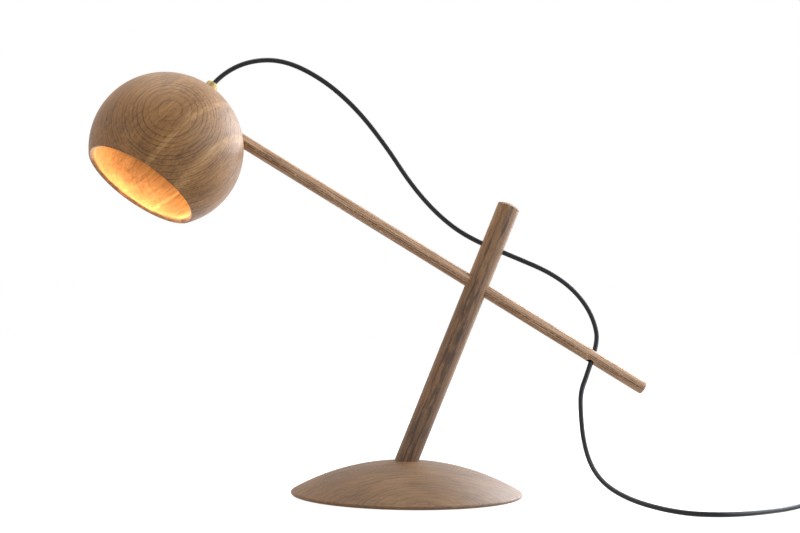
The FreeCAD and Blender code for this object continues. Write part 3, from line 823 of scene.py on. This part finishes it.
def paint_all():
    paint(
        oak(
            "oak_shade", shade_wood, SHADE_TONES, fibre_depth=0.4, calm_radius=0.0885, sheen=0.16
        ),
        "shade",
        "socket_block",
    )
    paint(oak("oak_base", base_wood, BASE_TONES, fibre_depth=0.3, sheen=0.0), "base_dome")
    paint(oak("oak_post", post_wood, POST_TONES, heart_depth=0.34), "post")
    paint(
        oak("oak_rod", rod_wood, ROD_TONES, ring_depth=0.8, fibre_depth=0.65, cloud_depth=0.1),
        "rod",
    )
    paint(felt("felt_dark", srgb(58, 55, 52)), "base_pad", "bush_liner")
    iron = plain("ballast_iron", srgb(78, 78, 80), 0.6, metallic=0.8, relief=0.0001)
    paint(iron, "base_ballast")
    steel = plain("zinc_steel", srgb(176, 178, 180), 0.35, metallic=1.0)
    paint(steel, "base_ballast_screws", "post_screw", "post_washer", "switch_screws")
    paint(steel, "rocker_pin", "socket_keeper", "bulb_contact")
    gland = brushed("gland_brass", srgb(158, 138, 94), 0.45, pole_axis)
    paint(gland, "shade_collar", "gland_cap", "nipple", "ring_nut")
    brass = plain("worked_brass", srgb(206, 168, 96), 0.3, metallic=1.0)
    paint(brass, "bush_keeper", "rod_bush", "rod_magnet_screw", "socket_keeper_screw")
    paint(brass, "holder_shell", "holder_contact", "switch_terminals")
    nickel = plain("nickel", srgb(205, 202, 196), 0.2, metallic=1.0)
    paint(nickel, "rod_magnet", "plug_pins", "bulb_cap")
    paint(plain("nylon_ring", srgb(222, 220, 212), 0.5), "cord_grip")
    paint(plain("black_phenolic", srgb(34, 32, 31), 0.25), "holder_cap", "holder_body")
    paint(plain("holder_ceramic", srgb(232, 229, 222), 0.3), "holder_insert")
    paint(lit_glass(), "bulb_glass")
    moulded = plain("moulded_black", srgb(26, 26, 28), 0.5, grain_size=0.0005, relief=0.00006)
    paint(moulded, "switch_base", "switch_cover", "plug_body", "plug_relief", "plug_sleeves")
    paint(plain("rocker_black", srgb(34, 34, 36), 0.34), "rocker")
    paint(plain("cord_inside", srgb(32, 33, 38), 0.42), "cord_inner")
    sleeve = cord_material()
    for piece in cord_pieces:
        piece.data.materials.append(sleeve)


def make_floor():
    corners = [(-1, -1), (1, -1), (1, 1), (-1, 1)]
    mesh = bpy.data.meshes.new("floor")
    mesh.from_pydata([(x * floor_half, y * floor_half, 0) for x, y in corners], [], [(0, 1, 2, 3)])
    mesh.materials.append(floor_material())
    add_object("floor", mesh)


def make_world():
    """White behind the object and in its gloss, and an even, lower light on it."""
    world = bpy.data.worlds.new("studio")
    world.use_nodes = True
    bpy.context.scene.world = world
    tree = world.node_tree
    lit = tree.nodes["Background"]
    lit.inputs["Color"].default_value = srgb(250, 251, 255)
    lit.inputs["Strength"].default_value = world_light
    white = tree.nodes.new("ShaderNodeBackground")
    white.inputs["Color"].default_value = (1, 1, 1, 1)
    path = tree.nodes.new("ShaderNodeLightPath").outputs
    mirror = tree.nodes.new("ShaderNodeMath")
    mirror.operation = "MAXIMUM"
    tree.links.new(path["Is Glossy Ray"], mirror.inputs[0])
    tree.links.new(path["Is Transmission Ray"], mirror.inputs[1])
    seen = tree.nodes.new("ShaderNodeMath")
    seen.operation = "MAXIMUM"
    tree.links.new(path["Is Camera Ray"], seen.inputs[0])
    tree.links.new(mirror.outputs[0], seen.inputs[1])
    chosen = tree.nodes.new("ShaderNodeMixShader")
    tree.links.new(seen.outputs[0], chosen.inputs[0])
    tree.links.new(lit.outputs[0], chosen.inputs[1])
    tree.links.new(white.outputs[0], chosen.inputs[2])
    tree.links.new(chosen.outputs[0], tree.nodes["World Output"].inputs["Surface"])


def area_light(name, place, size, power, colour):
    data = bpy.data.lights.new(name, "AREA")
    data.shape = "DISK"
    data.size = size
    data.energy = power
    data.color = colour[:3]
    light = add_object(name, data)
    aim = (lights_aim - Vector(place)).to_track_quat("-Z", "Y")
    light.matrix_world = Matrix.Translation(place) @ aim.to_matrix().to_4x4()


def make_lights():
    area_light("top", (-0.4, 0.2, 1.9), size=1.3, power=15, colour=srgb(255, 244, 226))
    area_light("rim", (1.5, 1.3, 0.9), size=2.0, power=84, colour=srgb(240, 246, 255))
    area_light("window", (2.0, -0.6, 1.0), size=2.2, power=44, colour=srgb(240, 246, 255))
    area_light("side", (-1.8, -1.0, 0.9), size=1.4, power=8, colour=srgb(255, 228, 196))


bpy.context.scene.view_settings.view_transform = "Standard"
make_camera()
make_head_cord()
make_middle_cord()
make_drop_cord()
make_table_cord()
paint_all()
make_floor()
make_world()
make_lights()
